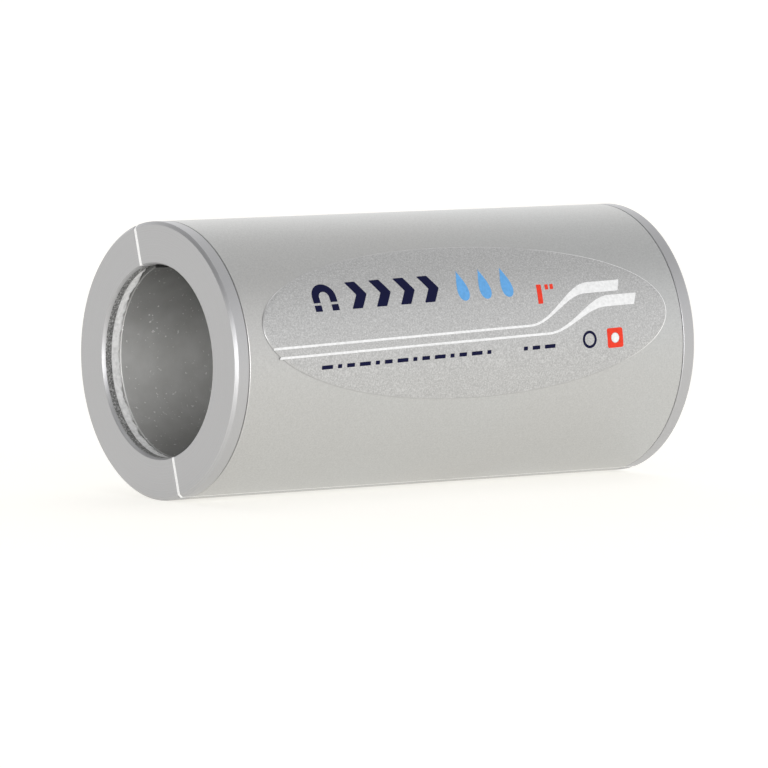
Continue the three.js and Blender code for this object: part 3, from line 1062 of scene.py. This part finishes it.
def make_film():
    """The elliptical film: rings of points from the middle out, over the rim and back underneath."""

    def ellipse(share, back, radius):
        """A ring at a share of the film's size, less a distance."""
        length = FILM_HALF_LENGTH * share - back
        arc = FILM_HALF_ARC * share - back
        return [on_cylinder(length * cos(a), arc * sin(a), radius) for a in full_turn(FILM_COLUMNS)]

    top = FILM_RADIUS + FILM_THICKNESS
    shares = [FILM_MIDDLE] + [i / FILM_RINGS for i in range(1, FILM_RINGS)]
    # in from the film's edge, and down from its top
    rim = [(FILM_RIM, 0), (0.6 * FILM_RIM, 0.25 * FILM_THICKNESS), (0, 0.85 * FILM_THICKNESS)]
    rows = [(share, 0, top) for share in shares]
    rows += [(1, back, top - down) for back, down in rim] + [(1, 0, FILM_RADIUS)]
    rows += [(share, 0, FILM_RADIUS) for share in reversed(shares)]
    shape = loft([ellipse(*row) for row in rows])
    piece = make_object("front_label_film", shape, SPACES["front"])

    def on_rim(x, y, z):
        around = OUTER * atan2(-z, y)
        return hypot(x / (FILM_HALF_LENGTH - FILM_RIM), around / (FILM_HALF_ARC - FILM_RIM)) > 1

    give_two_materials(piece, SPACES["front"], "label_film", "film_edge", on_rim)
    settle(piece, "front_half", "label_film", "label_film", flat=False)


def make_print(color, outlines):
    """Flat ink shapes wrapped on the film. An outline inside another is a hole in it."""
    curve = bpy.data.curves.new(color, "CURVE")
    curve.dimensions = "2D"
    curve.fill_mode = "BOTH"
    curve.extrude = INK_THICKNESS / 2
    for outline in outlines:
        spline = curve.splines.new("POLY")
        spline.points.add(len(outline) - 1)
        for point, (x, around) in zip(spline.points, outline):
            point.co = (x, around, 0, 1)
        spline.use_cyclic_u = True
    sheet = linked(color, curve)
    mesh = evaluated_mesh(sheet)
    bpy.data.objects.remove(sheet)
    bpy.data.curves.remove(curve)
    builder = bmesh.new()
    builder.from_mesh(mesh)
    bmesh.ops.remove_doubles(builder, verts=builder.verts, dist=1e-4)
    for i in range(INK_SLICES + 1):
        height = FILM_HALF_ARC * (2 * i / INK_SLICES - 1)
        everything = [*builder.verts, *builder.edges, *builder.faces]
        bmesh.ops.bisect_plane(builder, geom=everything, plane_co=(0, height, 0), plane_no=(0, 1, 0))
    base = FILM_RADIUS + FILM_THICKNESS + INK_THICKNESS / 2 + INK_GAP
    slope = Matrix.Rotation(ART_SLOPE, 2)
    for vertex in builder.verts:
        x, around = slope @ Vector(vertex.co[:2])
        vertex.co = on_cylinder(x, around, base + vertex.co.z)
    builder.normal_update()
    bmesh.ops.recalc_face_normals(builder, faces=builder.faces)
    builder.to_mesh(mesh)
    builder.free()
    mesh.transform(SPACES["front"])
    shade(mesh)
    mesh.materials.clear()
    settle(linked(color, mesh), "front_half", color, flat=False)


def slanted_bar(x, bottom, width, height, lean, corner):
    """A bar that leans to the right by a share of its height."""
    points = [
        (x, bottom),
        (x + width, bottom),
        (x + width + lean * height, bottom + height),
        (x + lean * height, bottom + height),
    ]
    return rounded(points, corner)


def chevron(x, bottom, width, height, point):
    """An arrowhead stripe that points to the right."""
    middle = bottom + height / 2
    points = [
        (x, bottom),
        (x + width, bottom),
        (x + width + point, middle),
        (x + width, bottom + height),
        (x, bottom + height),
        (x + point, middle),
    ]
    return rounded(points, EASING)


def horseshoe(x, bottom, height, radius, band):
    """A horseshoe magnet with its poles downwards: the bow, then the two tips set apart from it."""
    gap = 0.45
    tip = 0.45 * (height - radius)
    center = (x, bottom + height - radius)
    outer = arc_points(center, radius, 0, pi, 28)
    inner = arc_points(center, radius - band, pi, 0, 28)
    leg = bottom + tip + gap
    left = [(x - radius, leg), (x - radius + band, leg)]
    right = [(x + radius - band, leg), (x + radius, leg)]
    tips = [slanted_bar(start, bottom, band, tip, 0, 0.05) for start in (x - radius, x + radius - band)]
    return [[*outer, *left, *inner, *right], *tips]


def drop(x, y, width, height):
    """A water drop with its point upwards."""
    points = []
    for turn in full_turn(40):
        narrowing = sin(turn / 2) ** 1.5
        points.append((x + width / 2 * sin(turn) * narrowing, y + height / 2 * cos(turn)))
    return points


def ribbon(start, bend, end, low, high):
    """A stripe that runs level, widens as it climbs in one S bend, and ends in a plain cut."""
    thin, thick = RIBBON_WIDTHS
    count = 120
    upper, lower = [], []
    for i in range(count + 1):
        x = start + (end - start) * i / count
        climb = (x - bend[0]) / (bend[1] - bend[0])
        y = low + (high - low) * eased(climb)
        width = thin + (thick - thin) * eased(climb)
        upper.append((x + width / 4, y + width / 2))
        lower.append((x - width / 4, y - width / 2))
    return [*upper, *reversed(lower)]


def circle(center, radius, count, backwards=False):
    """A circle's points. A hole's circle runs backwards."""
    start, end = (TURN, 0) if backwards else (0, TURN)
    return arc_points(center, radius, start, end, count)[:-1]


def dashes(x, y, count):
    """A row of long and short dashes, with a break in it."""
    row = []
    for i in range(count):
        length = DASH_LENGTHS[i % len(DASH_LENGTHS)]
        if not DASH_BREAK[0] < x < DASH_BREAK[1]:
            row.append(slanted_bar(x, y, length, DASH_HEIGHT, 0.1, BAR_CORNER))
        x += length + DASH_GAP
    return row


def make_label_print():
    """Plain pictures in place of the maker's print: a magnet, arrows, drops, stripes and dashes.

    Places are along the sleeve and up round it, from the film's middle.
    """
    base = 3.4
    height = 5.2
    ring = (26.6, -6.0)
    badge = Vector((32.5, -6.1))
    navy = horseshoe(-30.6, base, height, height / 2, 1.5)
    navy += [chevron(-25.2 + 5.4 * i, base, 2.3, height, 1.7) for i in range(4)]
    navy += dashes(-33.6, -6.9, 19)
    navy += [circle(ring, 1.6, 36), circle(ring, 1.1, 36, backwards=True)]
    make_print("print_navy", navy)
    drops = [drop(0.2 + 5.0 * i, base + height / 2 + 0.1, 3.6, height + 0.8) for i in range(3)]
    make_print("print_blue", drops)
    square = [tuple(badge + 1.8 * Vector(corner)) for corner in ((-1, -1), (1, -1), (1, 1), (-1, 1))]
    lean = 0.18
    red = [slanted_bar(16.2, 1.3, 1.1, 3.7, lean, 0.15)]
    red += [slanted_bar(18.6 + 1.15 * i, 3.9, 0.75, 1.0, lean, BAR_CORNER) for i in range(2)]
    red += [rounded(square, 0.4), circle(badge, 0.95, 32, backwards=True)]
    make_print("print_red", red)
    white = [
        ribbon(-43.7, (13.5, 28.0), 35.5, -2.54, 3.6),
        ribbon(-42.5, (17.5, 32.0), 38.5, -4.25, 0.8),
        circle(badge, 0.85, 32),
    ]
    make_print("print_white", white)


# ---- Stage, in metres ----

CAMERA_PLACE = Vector((-0.7131, -0.9772, 0.0903))
CAMERA_AIM = Vector((0.587, 0.806, -0.0798))
CAMERA_LENS = 310.3
CAMERA_SIGHT = 50  # how far the camera sees
FLOOR_HALF_SIZE = 12.0
FLOOR_GLOW = ((1, 0.98, 0.92, 1), 0.65)  # colour and strength
STRIP_PLACE = (-1.02, -1.1, 0.02)
STRIP_SIZE = (1.5, 0.35)
STRIP_POWER = 16
# Each is an aim and the light at stops from square to it (0) to straight at it (1). They are multiplied.
WORLD_LIGHT = [
    ((0, 0, 1), [(0.0, 1.08), (0.3, 1.0), (0.6, 0.9), (0.78, 0.44), (0.92, 0.8), (1.0, 1.6)]),
    ((-0.85, 0.0, 0.53), [(0.6, 1.0), (0.85, 0.4)]),
    ((0.6, 0.72, 0.35), [(0.78, 1.0), (0.95, 1.43)]),
]


def make_floor():
    """A pale table that glows a little, so that the object casts only a faint shadow."""
    size = FLOOR_HALF_SIZE
    mesh = bpy.data.meshes.new("floor")
    corners = oblong(size, -size, -size, size)
    mesh.from_pydata([(x, y, cad_low.z) for x, y in corners], [], [(0, 1, 2, 3)])
    color, strength = FLOOR_GLOW
    glow = (("Specular IOR Level", 0.1), ("Emission Color", color), ("Emission Strength", strength))
    mesh.materials.append(Shader("light_table", grey(0.5), roughness=0.9, sockets=glow).material)
    linked("floor", mesh)


def make_strip_light():
    """A long soft light beside the camera, aimed at the object."""
    lamp = bpy.data.lights.new("front_strip", "AREA")
    lamp.shape = "RECTANGLE"
    lamp.size, lamp.size_y = STRIP_SIZE
    lamp.energy = STRIP_POWER
    light = linked("front_strip", lamp)
    light.location = STRIP_PLACE
    light.rotation_euler = (-Vector(STRIP_PLACE)).to_track_quat("-Z", "Y").to_euler()


def make_world():
    """A white studio: bright round the horizon, dim high on the left, and brighter behind the object."""
    world = bpy.data.worlds.new("studio")
    world.use_nodes = True
    tree = NodeTree(world.node_tree)
    direction = tree.add("TexCoord", {}, "Generated")
    light = None
    for aim, stops in WORLD_LIGHT:
        share = tree.dot(direction, Vector(aim).normalized())
        part = tree.ramp(share, *[(position, grey(level)) for position, level in stops])
        light = tree.mix("MULTIPLY", light, part) if light else part
    background = tree.nodes["Background"]
    tree.links.new(light, background.inputs["Color"])
    background.inputs["Strength"].default_value = 1.0
    bpy.context.scene.world = world


def make_camera():
    """The camera stands where a pinhole camera fitted to the photograph's edges stands."""
    lens = bpy.data.cameras.new("camera")
    lens.lens = CAMERA_LENS
    lens.clip_end = CAMERA_SIGHT
    camera = linked("camera", lens)
    camera.location = CAMERA_PLACE
    camera.rotation_euler = CAMERA_AIM.to_track_quat("-Z", "Y").to_euler()
    bpy.context.scene.camera = camera


# ---- Assembly ----

make_camera()
for half_name in ("rear", "front"):
    make_shell(half_name)
    make_liner(half_name)
    make_yoke(half_name)
    make_carrier(half_name)
    make_magnets(half_name)
    for end_name in ("left", "right"):
        make_ring(half_name, end_name)
        make_bead(half_name, end_name)
make_seal("upper_seal", 0)
make_seal("lower_seal", pi)
for screw in SCREWS:
    make_screw(*screw)
    make_washer(*screw)
    make_insert(*screw)
make_dowel("upper_dowel", DOWEL_OFFSET)
make_dowel("lower_dowel", -DOWEL_OFFSET)
make_film()
make_label_print()

make_floor()
make_world()
make_strip_light()
bpy.context.scene.view_settings.view_transform = "Standard"
